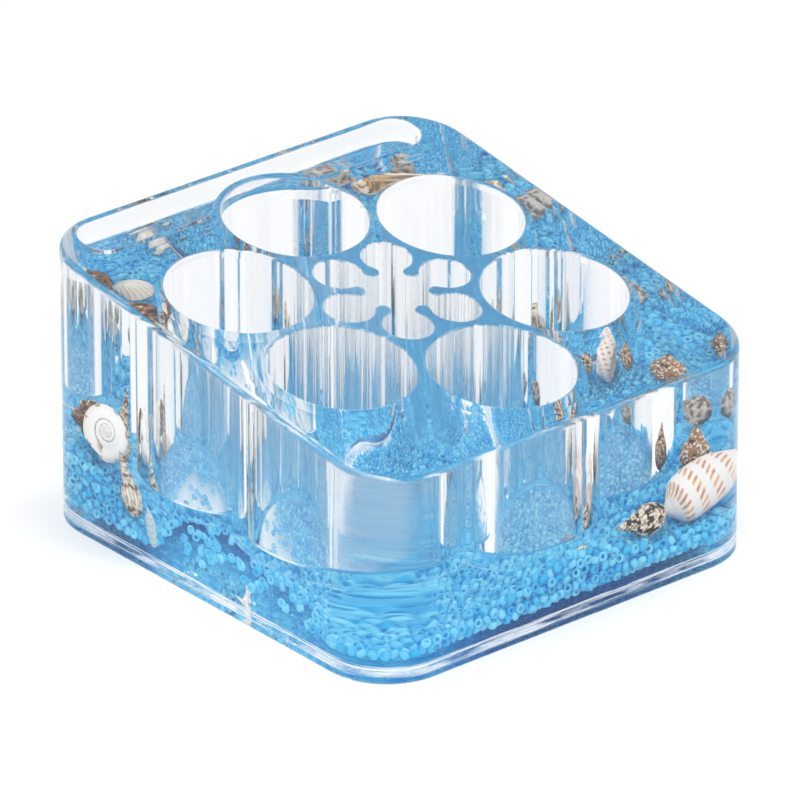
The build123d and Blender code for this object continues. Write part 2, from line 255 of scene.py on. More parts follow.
def streak_and_glint_share(tree, start, contrast):
    """Fine level streaks from 0 to 1, drawn out along walls and seams, for frosting and painted glints."""
    along = add(tree, "ShaderNodeMapping", Vector=object_place(tree), Scale=STREAKS_PER_METRE)
    streaks = add(
        tree, "ShaderNodeTexNoise", Vector=along.outputs["Vector"], Scale=1.0, Detail=4.0, Roughness=0.6
    )
    raised = math_node(tree, "SUBTRACT", streaks.outputs["Fac"], start)
    share = math_node(tree, "MULTIPLY", raised, contrast)
    share.node.use_clamp = True
    return share


ADHESIVE_GLOSS = 0.4


def cured_adhesive():
    """Clear glue with gloss and whitish streaks, partly frosted glue and partly painted glints."""
    material, tree = new_material("cured_adhesive")
    white = add(tree, "ShaderNodeBsdfDiffuse", Color=FROST_AND_PAINTED_GLINT)
    gloss = add(tree, "ShaderNodeBsdfGlossy", Color=rgba(250, 252, 255), Roughness=0.35)
    body = mix_shaders(tree, ADHESIVE_GLOSS, white.outputs[0], gloss.outputs[0])
    clear = add(tree, "ShaderNodeBsdfTransparent", Color=WHITE)
    # Whitish streaks: frosted glue, and painted glints along the seam
    streaks = streak_and_glint_share(tree, start=0.42, contrast=7.0)
    let_light_through(tree, mix_shaders(tree, streaks, clear.outputs[0], body))
    return material


MARKS_FROM = 0.65 * WALL_BOTTOM
MARKS_FULL = 0.9 * WALL_BOTTOM


def sawn_edge():
    """The plate's edge: clear, with pale marks where it nears the glue line, partly frosting and partly
    painted glints.
    """
    material, tree = new_material("sawn_edge")
    eased = add(tree, "ShaderNodeBevel", Radius=EDGE_EASE)
    glass = add(
        tree, "ShaderNodeBsdfGlass", Color=ACRYLIC_TINT, Roughness=0.04, IOR=ACRYLIC_INDEX,
        Normal=eased.outputs["Normal"],
    )
    marks = add(tree, "ShaderNodeBsdfDiffuse", Color=FROST_AND_PAINTED_GLINT)
    height = add(tree, "ShaderNodeSeparateXYZ", Vector=object_place(tree))
    near_glue = add(
        tree, "ShaderNodeMapRange", Value=height.outputs["Z"], From_Min=MARKS_FROM * MM,
        From_Max=MARKS_FULL * MM,
    )
    # Pale marks near the glue: frosting, and painted glints
    streaks = streak_and_glint_share(tree, start=0.46, contrast=6.0)
    share = math_node(tree, "MULTIPLY", streaks, near_glue.outputs["Result"])
    let_light_through(tree, mix_shaders(tree, share, glass.outputs[0], marks.outputs[0]))
    return material


# Materials of the beads and shells
BEAD_TRANSLUCENCY = 0.3
BEAD_LIGHT_SHARE = 0.57
BEAD_TINT = (0.36, 0.92, 0.99, 1.0)


def bead_glass():
    """Coloured glass: glossy, and a share of the light sinks through it into the heap."""
    material, tree = new_material("bead_glass")
    colour = mesh_paint(tree)
    body = add(
        tree, "ShaderNodeBsdfPrincipled", Base_Color=colour, Roughness=0.1, Specular_IOR_Level=0.35
    )
    glow = add(tree, "ShaderNodeBsdfTranslucent", Color=colour)
    bead = mix_shaders(tree, BEAD_TRANSLUCENCY, body.outputs[0], glow.outputs[0])
    through = add(tree, "ShaderNodeBsdfTransparent", Color=BEAD_TINT)
    let_in = math_node(tree, "MULTIPLY", light_on_its_way(tree), BEAD_LIGHT_SHARE)
    finish_material(tree, mix_shaders(tree, let_in, bead, through.outputs[0]))
    return material


GRAINS_PER_METRE = 1400.0
GRAIN_HEIGHT = 0.12 * MM


def shell_lime():
    """Shell: its colours lie on the mesh, over a fine grain with an uneven sheen."""
    material, tree = new_material("shell_lime")
    grain = add(
        tree, "ShaderNodeTexNoise", Vector=object_place(tree), Scale=GRAINS_PER_METRE, Detail=3.0,
        Roughness=0.6,
    )
    sheen = add(tree, "ShaderNodeMapRange", Value=grain.outputs["Fac"], To_Min=0.24, To_Max=0.52)
    relief = add(
        tree, "ShaderNodeBump", Strength=0.25, Distance=GRAIN_HEIGHT, Height=grain.outputs["Fac"]
    )
    body = add(
        tree, "ShaderNodeBsdfPrincipled", Base_Color=mesh_paint(tree), Roughness=sheen.outputs["Result"],
        Normal=relief.outputs["Normal"], Specular_IOR_Level=0.35,
    )
    finish_material(tree, body.outputs[0])
    return material


# Acrylic in air carries the painted edge highlight
ACRYLIC = clear_boundary("acrylic_in_air", ACRYLIC_INDEX, ACRYLIC_TINT, with_painted_edge=True)
WETTED = clear_boundary("acrylic_in_liquid", ACRYLIC_INDEX / LIQUID_INDEX, WHITE, with_painted_edge=False)
MATCHED = matched_boundary()
SAWN = sawn_edge()
ADHESIVE = cured_adhesive()
BEAD_PAINT = bead_glass()
SHELL_PAINT = shell_lime()

# CAD nodes that keep their own meshes. A probe just outside a face tells what it looks into.
PROBE = 0.3
SLACK = 0.2
FACES_DOWN = -0.9
SHARP_ANGLE = math.radians(25)
IN_AIR, IN_LIQUID, IN_GLUE, SAWN_IN_AIR = range(4)


def face_arrays(mesh):
    count = len(mesh.polygons)
    centres = np.zeros(count * 3)
    normals = np.zeros(count * 3)
    mesh.polygons.foreach_get("center", centres)
    mesh.polygons.foreach_get("normal", normals)
    return centres.reshape(-1, 3) / MM, normals.reshape(-1, 3)


def surroundings_of_body(centres, normals):
    x, y, z = (centres + PROBE * normals).T
    wet = (depth_in_plan(x, y, WALL) > 0) & (z < deck_height(y) - DECK + SLACK)
    above_cups = z > WELL_FLOOR - SLACK
    for centre_x, centre_y in WELL_CENTRES:
        wet &= ~(above_cups & (np.hypot(x - centre_x, y - centre_y) < WELL + SLACK))
    wet &= ~(above_cups & (np.hypot(x, y - RING_Y) < WEB))
    wet &= ~((z > TRAY_FLOOR - SLACK) & (y > TRAY_FRONT - SLACK) & (np.abs(x) < TRAY_END + SLACK))
    glued = (normals[:, 2] < FACES_DOWN) & (centres[:, 2] < WALL_BOTTOM + SLACK)
    return np.where(glued, IN_GLUE, np.where(wet, IN_LIQUID, IN_AIR))


def surroundings_of_base(centres, normals):
    x, y, z = (centres + PROBE * normals).T
    beside = depth_in_plan(x, y, 0) < 0
    within = np.where(z > FLOOR, IN_LIQUID, IN_GLUE)
    return np.where(beside, SAWN_IN_AIR, np.where(z < 0, IN_AIR, within))


def smooth(piece):
    mesh = piece.data
    mesh.polygons.foreach_set("use_smooth", np.ones(len(mesh.polygons), bool))
    mesh.set_sharp_from_angle(angle=SHARP_ANGLE)
    weighted = piece.modifiers.new("even_normals", "WEIGHTED_NORMAL")
    weighted.keep_sharp = True
    weighted.weight = 100


def coat(piece, materials):
    """Gives a CAD node its materials in place of those it has."""
    piece.data.materials.clear()
    for material in materials:
        piece.data.materials.append(material)


def dress(name, surroundings):
    """Gives a clear CAD node a boundary for what each of its faces looks into."""
    piece = nodes[name]
    mesh = piece.data
    coat(piece, (ACRYLIC, WETTED, MATCHED, SAWN))
    mesh.polygons.foreach_set("material_index", surroundings(*face_arrays(mesh)).astype(np.int32))
    smooth(piece)


dress("body_moulding", surroundings_of_body)
dress("base_plate", surroundings_of_base)
dress("fill_plug", surroundings_of_base)
coat(nodes["liquid_fill"], [MATCHED])

# The liquid's own faces stand a little clear of the walls that it wets
LIQUID_GAP = 0.05
drawn_in = nodes["liquid_fill"].modifiers.new("clear_of_walls", "DISPLACE")
drawn_in.mid_level = 0.0
drawn_in.strength = -LIQUID_GAP * MM
coat(nodes["seam_adhesive"], [ADHESIVE])


def new_piece(name, vertices, faces, paint, material, body, replaced):
    """A smooth mesh in millimetres, with a colour for each vertex, that rides on a body."""
    mesh = bpy.data.meshes.new(name)
    mesh.from_pydata(vertices * MM, [], faces)
    mesh.polygons.foreach_set("use_smooth", np.ones(len(mesh.polygons), bool))
    colours = np.ones((len(vertices), 4), np.float32)
    colours[:, :3] = paint
    attribute = mesh.attributes.new("paint", "FLOAT_COLOR", "POINT")
    attribute.data.foreach_set("color", colours.ravel())
    mesh.materials.append(material)
    piece = bpy.data.objects.new(name, mesh)
    scene.collection.objects.link(piece)
    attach(piece, body)
    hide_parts(*replaced)


# Shells: place, size and form of each, as the part has them
SHELLS = {
    "moon_shell": dict(
        length=10.0, width=13.2, whorls=4, spire=0.25, neck=0.60, x=6.6 - INNER_X, y=INNER_Y - 15.8,
        rise=5.6, apex=(-0.72, -0.52, 0.42), mouth=(0.0, 0.3, -1.0), ribs=0, rib=0.0, suture=0.12,
    ),
    "ribbed_whelk": dict(
        length=14.5, width=5.5, whorls=6, spire=0.55, x=2.95 - INNER_X, y=INNER_Y - 25.6,
        rise=6.4, apex=(0.05, 0.42, 0.90), mouth=(0.7, 0.7, 0.0), ribs=15, rib=0.06, suture=0.17,
    ),
    "pale_olive": dict(
        length=9.0, width=3.0, whorls=3, spire=0.25, x=1.9 - INNER_X, y=INNER_Y - 33.8,
        rise=4.3, apex=(0.0, 0.25, 0.97), mouth=(0.7, 0.7, 0.0), ribs=0, rib=0.0, suture=0.05,
    ),
    "brown_murex": dict(
        length=15.5, width=8.6, whorls=5, spire=0.45, x=13.8 - INNER_X, y=INNER_Y - 5.7,
        rise=3.4, apex=(-0.97, 0.05, 0.22), mouth=(0.0, -0.5, -0.8), ribs=9, rib=0.12, suture=0.2,
    ),
    "speckled_auger": dict(
        length=19.0, width=6.0, whorls=8, spire=0.68, x=19.3 - INNER_X, y=INNER_Y - 14.3,
        rise=8.2, apex=(0.05, -0.16, 0.98), mouth=(0.7, 0.7, 0.0), ribs=16, rib=0.06, suture=0.16,
    ),
    "striped_bonnet": dict(
        length=20.0, width=12.8, whorls=4, spire=0.20, x=INNER_X - 11.3, y=8.3 - INNER_Y,
        rise=5.0, apex=(-0.95, -0.05, -0.28), mouth=(0.3, 0.9, -0.3), ribs=0, rib=0.0, suture=0.08,
    ),
    "mottled_nassa": dict(
        length=13.0, width=7.0, whorls=5, spire=0.48, x=INNER_X - 28.8, y=4.9 - INNER_Y,
        rise=3.0, apex=(-0.98, 0.12, 0.02), mouth=(0.0, 0.8, -0.6), ribs=16, rib=0.06, suture=0.17,
    ),
    "buried_nassa": dict(
        length=8.0, width=4.6, whorls=5, spire=0.48, x=5.5, y=7.3 - INNER_Y,
        rise=-3.7, apex=(-0.95, 0.30, 0.05), mouth=(0.0, 0.2, -1.0), ribs=14, rib=0.06, suture=0.17,
    ),
    "mottled_turban": dict(
        length=11.0, width=7.6, whorls=4, spire=0.42, x=INNER_X - 5.6, y=21.4 - INNER_Y,
        rise=4.4, apex=(0.10, 0.10, 0.99), mouth=(0.7, 0.7, 0.0), ribs=12, rib=0.05, suture=0.2,
    ),
    "grey_whelk": dict(
        length=14.0, width=6.4, whorls=6, spire=0.52, x=INNER_X - 4.2, y=RING_Y,
        rise=2.8, apex=(0.05, 0.99, 0.05), mouth=(-0.6, 0.0, -0.8), ribs=13, rib=0.06, suture=0.17,
    ),
    "grey_turban": dict(
        length=10.5, width=8.6, whorls=4, spire=0.38, x=INNER_X - 10.0, y=INNER_Y - 15.6,
        rise=4.0, apex=(0.35, -0.35, 0.87), mouth=(-0.9, 0.2, -0.3), ribs=0, rib=0.0, suture=0.2,
    ),
    "banded_nerite": dict(
        length=8.0, width=7.0, whorls=3, spire=0.25, x=INNER_X - 7.4, y=INNER_Y - 5.8,
        rise=3.2, apex=(-0.70, 0.10, 0.70), mouth=(0.4, -0.9, -0.2), ribs=0, rib=0.0, suture=0.1,
    ),
}
COCKLE = dict(x=27.4 - INNER_X, y=INNER_Y - 5.6, radius=5.0, height=3.6, wall=0.9, ribs=20, tilt=12.0)
WEDGED = ("pale_olive", "buried_nassa")


def shell_frame(shell):
    """Middle of a shell, and its axes as rows: mouth, side and apex."""
    middle = np.array(
        [shell["x"], shell["y"], bed_height(shell["x"], shell["y"]) + shell["rise"]], float
    )
    apex = np.array(shell["apex"], float)
    apex /= np.linalg.norm(apex)
    mouth = np.array(shell["mouth"], float)
    mouth -= mouth @ apex * apex
    mouth /= np.linalg.norm(mouth)
    return middle, np.array([mouth, np.cross(apex, mouth), apex])


# Factors that scatter the lattice values of the noise
LATTICE = np.array([127.1, 311.7, 74.7])
LATTICE_SEED = 13.37
SCATTER = 43758.5453


def noise(points, seed):
    """Smooth noise from 0 to 1 at points, one lattice cell to each unit."""
    cell = np.floor(points)
    part = points - cell
    part = part * part * (3 - 2 * part)
    total = np.zeros(len(points))
    for corner in np.ndindex(2, 2, 2):
        at = cell + corner
        wave = np.sin(at @ LATTICE + seed * LATTICE_SEED) * SCATTER
        weight = np.prod(np.where(np.array(corner) == 1, part, 1 - part), axis=1)
        total += weight * (wave - np.floor(wave))
    return total


def step(low, high, value):
    share = np.clip((value - low) / (high - low), 0, 1)
    return share * share * (3 - 2 * share)


def blend(first, second, share):
    return first + (second - first) * share[:, None]


# A coiled shell's form, in shares of its length and half width; turns are whorls, angles radians
APEX_SHARE = 0.06
NECK_SHARE = 0.84
CANAL_SHARE = 0.22
BELLY_SHARE = 0.32
SPIRE_POWER = 1.1
BASE_CLOSE = 0.999
GROWTH = 5.0
PLAIN_FROM_TURN = 0.5
TIP_FADE = 0.06
RIB_FADE = 0.7
RIB_SHIFT = 2.1
MOUTH_TURN = 0.35
MOUTH_SPREAD = 0.75
MOUTH_RISE = 0.06
MOUTH_REACH = 0.46
MOUTH_LIP = 0.55
MOUTH_DEPTH = 0.5
ROWS = 170
COLUMNS = 120


def coil(shell):
    """Points of a coiled shell about its own middle, apex up, with what its look depends on."""
    share = np.linspace(0, 1, ROWS)[:, None] + np.zeros((1, COLUMNS))
    angle = np.linspace(0, 2 * np.pi, COLUMNS, endpoint=False)[None, :] + np.zeros((ROWS, 1))
    spire, whorls, half = shell["spire"], shell["whorls"], shell["width"] / 2
    neck = shell.get("neck", NECK_SHARE)
    belly = spire + BELLY_SHARE * (1 - spire)
    on_spire = np.clip(share / spire, 0, 1)
    on_shoulder = np.clip((share - spire) / (belly - spire), 0, 1)
    on_base = np.clip((share - belly) / (1 - belly), 0, 1)
    radius = APEX_SHARE + (neck - APEX_SHARE) * on_spire**SPIRE_POWER
    shoulder = neck + (1 - neck) * np.sqrt(1 - (1 - on_shoulder) ** 2)
    base = CANAL_SHARE + (1 - CANAL_SHARE) * np.sqrt(1 - on_base**2 * BASE_CLOSE)
    radius = np.where(share > spire, shoulder, radius)
    radius = np.where(share > belly, base, radius)
    whorl = whorls * np.log1p(GROWTH * on_spire) / math.log1p(GROWTH)
    whorl = whorl + np.clip((share - spire) / (1 - spire), 0, 1)
    turn = whorl - angle / (2 * np.pi)
    across = turn - np.floor(turn)
    bulge = np.sqrt(np.abs(np.sin(np.pi * across)))
    bulge = np.where(turn - (whorls - 1) > PLAIN_FROM_TURN, 1.0, bulge)
    fade = step(0.0, TIP_FADE, share)
    radius = radius * (1 - shell["suture"] * (1 - bulge) * fade)
    ribbed = np.cos(shell["ribs"] * angle + RIB_SHIFT * np.floor(turn)) if shell["ribs"] else 0 * angle
    ribbed = ribbed * bulge * (1 - RIB_FADE * on_base)
    radius = radius * (1 + shell["rib"] * ribbed * fade)
    mouth_angle = np.abs((angle + MOUTH_TURN + np.pi) % (2 * np.pi) - np.pi) / MOUTH_SPREAD
    mouth_share = np.abs(share - (belly + 1) / 2 + MOUTH_RISE) / (MOUTH_REACH * (1 - spire))
    mouth = 1 - step(MOUTH_LIP, 1.0, np.hypot(mouth_angle, mouth_share))
    radius = radius * (1 - MOUTH_DEPTH * mouth)
    top = shell["length"] * (0.5 - share)
    points = np.stack([half * radius * np.cos(angle), half * radius * np.sin(angle), top], axis=-1)
    facts = dict(share=share, angle=angle, turn=turn, across=across, mouth=mouth, ribbed=ribbed)
    return points.reshape(-1, 3), {key: value.ravel() for key, value in facts.items()}


def sheet_faces(rows, columns):
    """Quads of a closed band of rows, then both ends."""
    grid = np.arange(rows * columns).reshape(rows, columns)
    after = np.roll(grid, -1, axis=1)
    quads = np.stack([grid[:-1], grid[1:], after[1:], after[:-1]], axis=-1).reshape(-1, 4)
    return [*quads.tolist(), grid[0].tolist(), grid[-1][::-1].tolist()]


# Looks of the shells: a ground colour, then marks laid over it

def ground(points, red, green, blue):
    return linear(red, green, blue) + 0 * points


def suture_line(facts, whorls, width):
    """1 along the seam between whorls."""
    before = step(1 - width, 1, facts["across"]) * (facts["turn"] < whorls - 1)
    after = (1 - step(0, width, facts["across"])) * (facts["turn"] < whorls - 1 + 2 * width)
    return np.maximum(before, after)


def painted_rib_shade(facts, level, depth):
    """Painted highlight on the rib crests and painted shade between them: brightness that follows the
    ribs.
    """
    return (level + depth * facts["ribbed"])[:, None]


def moon_look(facts, points):
    """White, with a brown seam and rows of brown dots."""
    seam = suture_line(facts, SHELLS["moon_shell"]["whorls"], 0.12)
    paint = blend(ground(points, 230, 230, 229), linear(120, 84, 54), 0.85 * seam)
    dots = step(0.5, 0.75, np.cos(7 * facts["angle"] + 1.7 * np.floor(facts["turn"])))
    on_spire = step(0.74, 0.84, facts["across"]) * (facts["turn"] < 3)
    on_body = step(0.30, 0.34, facts["share"]) * (1 - step(0.40, 0.45, facts["share"]))
    broken = step(0.3, 0.5, noise(points * 0.5, 4))
    paint = blend(paint, linear(168, 96, 42), 0.9 * dots * on_spire)
    return blend(paint, linear(150, 96, 56), 0.8 * dots * on_body * broken)


def whelk_look(facts, points):
    """Cream, mottled, with a dark band on each whorl and painted shade that follows the ribs."""
    mottle = noise(points * 1.6, 3)
    paint = blend(ground(points, 228, 222, 210), linear(126, 110, 94), step(0.35, 0.7, mottle) * 0.6)
    band = step(0.16, 0.24, facts["across"]) * (1 - step(0.46, 0.6, facts["across"]))
    paint = blend(paint, linear(86, 74, 64), band * (0.35 + 0.6 * step(0.3, 0.6, mottle)))
    return paint * painted_rib_shade(facts, 0.86, 0.2)


def olive_look(facts, points):
    """Pale blue-grey with fine lines."""
    lines = np.cos(40 * facts["share"] + 3 * noise(points * 0.6, 31))
    return blend(ground(points, 172, 198, 206), linear(132, 158, 168), 0.5 * step(0.2, 1.0, lines))


def murex_look(facts, points):
    """Dark brown with pale rib crests."""
    mottle = noise(points * 0.9, 5)
    paint = blend(ground(points, 58, 40, 30), linear(142, 96, 60), step(0.45, 0.7, mottle))
    crests = step(0.7, 0.95, facts["ribbed"]) * step(0.4, 0.6, noise(points * 1.4, 6))
    return blend(paint, linear(232, 220, 200), crests)


def auger_look(facts, points):
    """Sandy with brown speckles and a darker seam."""
    speckles = step(0.5, 0.62, noise(points * 2.4, 8))
    paint = blend(ground(points, 212, 200, 178), linear(112, 88, 64), speckles)
    return blend(paint, linear(92, 74, 58), step(0.8, 0.95, facts["across"]) * 0.6)


def bonnet_look(facts, points):
    """White, with rows of slanting amber dashes."""
    row = 4.6 * facts["share"] + 0.5 * facts["angle"] / np.pi
    slant = 2.4 * facts["share"]
    dash = np.cos(18 * (facts["angle"] - slant) + 1.9 * np.floor(row) + 2.0 * noise(points * 0.3, 2))
    gap = row - np.floor(row)
    marks = step(0.05, 0.5, dash) * step(0.12, 0.24, gap) * (1 - step(0.6, 0.74, gap))
    marks *= step(0.08, 0.14, facts["share"]) * (1 - step(0.86, 0.95, facts["share"]))
    browner = step(0.3, 0.7, noise(points * 0.8, 9))
    amber = blend(ground(points, 222, 158, 84), linear(188, 104, 46), browner)
    return blend(ground(points, 226, 225, 224), amber, 0.92 * marks)


def nassa_look(facts, points):
    """Cream with tan and near-black mottling, and painted shade that follows the ribs."""
    mottle = noise(points * 0.9, 11)
    fine = noise(points * 2.2, 12)
    paint = blend(ground(points, 228, 219, 204), linear(158, 120, 82), step(0.42, 0.58, fine))
    paint = blend(paint, linear(40, 32, 28), step(0.5, 0.6, 0.6 * mottle + 0.4 * fine))
    return paint * painted_rib_shade(facts, 0.9, 0.14)


def brown_look(facts, points):
    """Brown with dark mottling and pale flecks."""
    mottle = noise(points * 1.0, 15)
    paint = blend(ground(points, 146, 112, 82), linear(66, 50, 42), step(0.45, 0.65, mottle))
    return blend(paint, linear(214, 204, 190), step(0.62, 0.72, noise(points * 2.0, 16)))


def grey_look(facts, points):
    """Mottled warm greys, with painted shade that follows the ribs."""
    mottle = noise(points * 1.1, 21)
    paint = blend(ground(points, 196, 190, 182), linear(112, 104, 98), step(0.4, 0.65, mottle))
    return paint * painted_rib_shade(facts, 0.9, 0.14)


def nerite_look(facts, points):
    """Ochre with brown bands and pale patches."""
    bands = np.cos(4 * np.pi * facts["across"])
    paint = blend(ground(points, 188, 150, 96), linear(112, 88, 66), step(0.1, 0.5, bands))
    return blend(paint, linear(224, 214, 196), step(0.45, 0.62, noise(points * 1.2, 25)))


LOOKS = {
    "moon_shell": moon_look,
    "ribbed_whelk": whelk_look,
    "pale_olive": olive_look,
    "brown_murex": murex_look,
    "speckled_auger": auger_look,
    "striped_bonnet": bonnet_look,
    "mottled_nassa": nassa_look,
    "buried_nassa": nassa_look,
    "mottled_turban": brown_look,
    "grey_whelk": grey_look,
    "grey_turban": grey_look,
    "banded_nerite": nerite_look,
}
MOUTH_COLOUR = linear(206, 186, 164)
MOUTH_TONE = 0.8


def coiled_shells():
    faces = sheet_faces(ROWS, COLUMNS)
    for name, shell in SHELLS.items():
        points, facts = coil(shell)
        paint = blend(LOOKS[name](facts, points), MOUTH_COLOUR, MOUTH_TONE * facts["mouth"])
        middle, axes = shell_frame(shell)
        body = "holder" if name in WEDGED else name
        new_piece(
            f"{name}_form", points @ axes + middle, faces, paint, SHELL_PAINT, body, [name]
        )


# The cockle's flutes fan out from a point behind its rim; lengths are shares of radius and height
RINGS = 24
SPOKES = 160
FAN_BEHIND = 1.25
FAN_SPREAD = 2.4
FLUTE_DEPTH = 0.035
DOME_SHARE = 0.97
DOME_SINK = 0.12


def cockle():
    """Fluted valve, hollow side down: an outer dome and an inner one, joined at the rim."""
    radius, height, wall = COCKLE["radius"], COCKLE["height"], COCKLE["wall"]
    out = np.linspace(0, 1, RINGS)[:, None]
    angle = np.linspace(0, 2 * np.pi, SPOKES, endpoint=False)[None, :]
    x = out * np.cos(angle)
    y = out * np.sin(angle)
    fan = np.arctan2(x, y + FAN_BEHIND)
    flute = np.cos(fan * FAN_SPREAD * COCKLE["ribs"])
    grown = step(0.1, 0.4, out)
    rise = np.sqrt(np.maximum(0, 1 - DOME_SHARE * out**2)) + 0 * angle
    outer_z = height * (rise + FLUTE_DEPTH * flute * grown)
    outer = np.stack([radius * x, radius * y, outer_z - DOME_SINK * height], axis=-1)
    inner_scale = 1 - wall / radius
    inner = outer * np.array([inner_scale, inner_scale, 1 - wall / height])
    points = np.concatenate([outer, inner[::-1]]).reshape(-1, 3)
    # Painted shade in the flute grooves: the outer face darkens where the flutes dip
    shade = np.concatenate([flute * grown, 0 * flute]).ravel()
    paint = blend(ground(points, 226, 222, 214), linear(170, 156, 138), 0.6 * step(0.2, 0.9, -shade))
    tilt = math.radians(COCKLE["tilt"])
    turn = np.array([[1, 0, 0], [0, math.cos(tilt), -math.sin(tilt)], [0, math.sin(tilt), math.cos(tilt)]])
    points = points @ turn.T + [COCKLE["x"], COCKLE["y"], bed_height(COCKLE["x"], COCKLE["y"])]
    faces = sheet_faces(2 * RINGS, SPOKES)[:-2]
    new_piece(
        "cockle_form", points, faces, paint, SHELL_PAINT, "cockle_valve",
        ["cockle_valve"],
    )


coiled_shells()
cockle()

# Seed beads: a heaped packing settled for a few steps, then a ring-shaped bead at every place
BEAD_SCALE = 1.2
BEAD_REACH = 1.1
BEAD_LYING = 0.8 * BEAD_REACH
SHELL_ROOM = 0.75 * BEAD_REACH
SETTLE_STEPS = 70
FALL = 0.03
PUSH_SHARE = 0.55
TINY = 1e-6
SHALLOWEST = 0.05
CELL_SPAN = np.int64(1 << 20)
CELL_OFFSET = 500
PILLARS = [(x, y, CUP) for x, y in WELL_CENTRES] + [(0.0, RING_Y, WEB)]
OBSTACLES = [(*shell_frame(shell), shell["length"], shell["width"]) for shell in SHELLS.values()]


def pairs_within(points, reach):
    """Index pairs of points closer than reach."""
    cells = np.floor(points / reach).astype(np.int64) + CELL_OFFSET
    keys = (cells[:, 0] * CELL_SPAN + cells[:, 1]) * CELL_SPAN + cells[:, 2]
    order = np.argsort(keys, kind="stable")
    ranked = keys[order]
    firsts, seconds = [], []
    for offset in np.ndindex(3, 3, 3):
        shift = np.array(offset, np.int64) - 1
        wanted = keys + (shift[0] * CELL_SPAN + shift[1]) * CELL_SPAN + shift[2]
        start = np.searchsorted(ranked, wanted, "left")
        stop = np.searchsorted(ranked, wanted, "right")
        for k in range(int((stop - start).max())):
            held = np.nonzero(start + k < stop)[0]
            other = order[start[held] + k]
            ahead = held < other
            firsts.append(held[ahead])
            seconds.append(other[ahead])
    first, second = np.concatenate(firsts), np.concatenate(seconds)
    close = np.linalg.norm(points[first] - points[second], axis=1) < reach
    return first[close], second[close]


def hold_in(points):
    """Pushes beads out of walls, floor, cups and shells."""
    x, y = points[:, 0], points[:, 1]
    dx = np.abs(x) - (HALF_X - CORNER)
    dy = np.abs(y) - (HALF_Y - CORNER)
    room = CORNER - WALL - BEAD_REACH
    in_corner = (dx > 0) & (dy > 0)
    far = np.hypot(dx, dy)
    pull = np.where(in_corner & (far > room), room / np.maximum(far, TINY), 1.0)
    dx = np.where(in_corner, dx * pull, np.minimum(dx, room))
    dy = np.where(in_corner, dy * pull, np.minimum(dy, room))
    points[:, 0] = np.sign(x) * (dx + HALF_X - CORNER)
    points[:, 1] = np.sign(y) * (dy + HALF_Y - CORNER)
    points[:, 2] = np.maximum(points[:, 2], FLOOR + BEAD_LYING)
    for centre_x, centre_y, radius in PILLARS:
        offset = points[:, :2] - [centre_x, centre_y]
        away = np.hypot(*offset.T)
        sunk = points[:, 2] - (CUP_UNDERSIDE - BEAD_REACH)
        inward = radius + BEAD_REACH - away
        hit = (sunk > 0) & (inward > 0)
        down = hit & (sunk < inward)
        points[down, 2] -= sunk[down]
        side = hit & ~down
        points[side, :2] += offset[side] / away[side, None] * inward[side, None]
    for middle, axes, length, width in OBSTACLES:
        local = (points - middle) @ axes.T
        semi = np.array([width, width, length]) / 2 + SHELL_ROOM
        level = np.sqrt(((local / semi) ** 2).sum(1))
        hit = level < 1
        points[hit] = middle + (local[hit] / np.maximum(level[hit, None], SHALLOWEST)) @ axes
    return points


# The packing before it settles
PITCH = 2 * BEAD_REACH * 1.03
ROW_PITCH = 0.87 * PITCH
LAYER_PITCH = 0.82 * PITCH
LAYER_SHIFT = 0.29 * PITCH
PACKING_HEIGHT = 22
JITTER = 0.45
HEAP_SKIN = 0.4
FIRST_LAYER = FLOOR + 1.6 * BEAD_REACH
RAGGED_EDGE = (-0.2, 0.7)
WALL_ROOM = 0.3


def heaped_places():
    spans = [np.arange(-INNER_X, INNER_X, PITCH), np.arange(-INNER_Y, INNER_Y, ROW_PITCH)]
    levels = np.arange(0, PACKING_HEIGHT, LAYER_PITCH)
    x, y, z = np.meshgrid(*spans, levels, indexing="ij")
    row = np.round((y + INNER_Y) / ROW_PITCH).astype(int)
    layer = np.round(z / LAYER_PITCH).astype(int)
    x = x + 0.5 * PITCH * (row % 2) + 0.5 * PITCH * (layer % 2)
    y = y + LAYER_SHIFT * (layer % 2)
    places = np.stack([x, y, z + FLOOR + BEAD_REACH], axis=-1).reshape(-1, 3)
    places += chance.uniform(-JITTER, JITTER, places.shape)
    top = bed_height(places[:, 0], places[:, 1])
    lowest = places[:, 2] < FIRST_LAYER
    covered = top > FLOOR + chance.uniform(*RAGGED_EDGE, len(places))
    kept = (places[:, 2] < top - HEAP_SKIN) | (lowest & covered)
    kept &= depth_in_plan(places[:, 0], places[:, 1], WALL) > WALL_ROOM
    return places[kept]


SCATTERED = 110
SCATTER_X = (-48, -12)
SCATTER_Y = (-46, 26)
SCATTER_ROOM = (2, 10)


def scattered_places():
    """Single beads on the bare part of the floor."""
    x = chance.uniform(*SCATTER_X, SCATTERED)
    y = chance.uniform(*SCATTER_Y, SCATTERED)
    inside = depth_in_plan(x, y, WALL) > chance.uniform(*SCATTER_ROOM, SCATTERED)
    bare = (bed_height(x, y) < FLOOR) & inside
    return np.stack([x, y, 0 * x + FLOOR + BEAD_LYING], axis=-1)[bare]


def settled_places():
    places = hold_in(np.concatenate([heaped_places(), scattered_places()]))
    for _ in range(SETTLE_STEPS):
        places[:, 2] -= FALL
        first, second = pairs_within(places, 2 * BEAD_REACH)
        gap = places[first] - places[second]
        apart = np.maximum(np.linalg.norm(gap, axis=1), TINY)
        push = gap * (0.5 * (2 * BEAD_REACH - apart) / apart)[:, None] * PUSH_SHARE
        np.add.at(places, first, push)
        np.add.at(places, second, -push)
        places = hold_in(places)
    return places


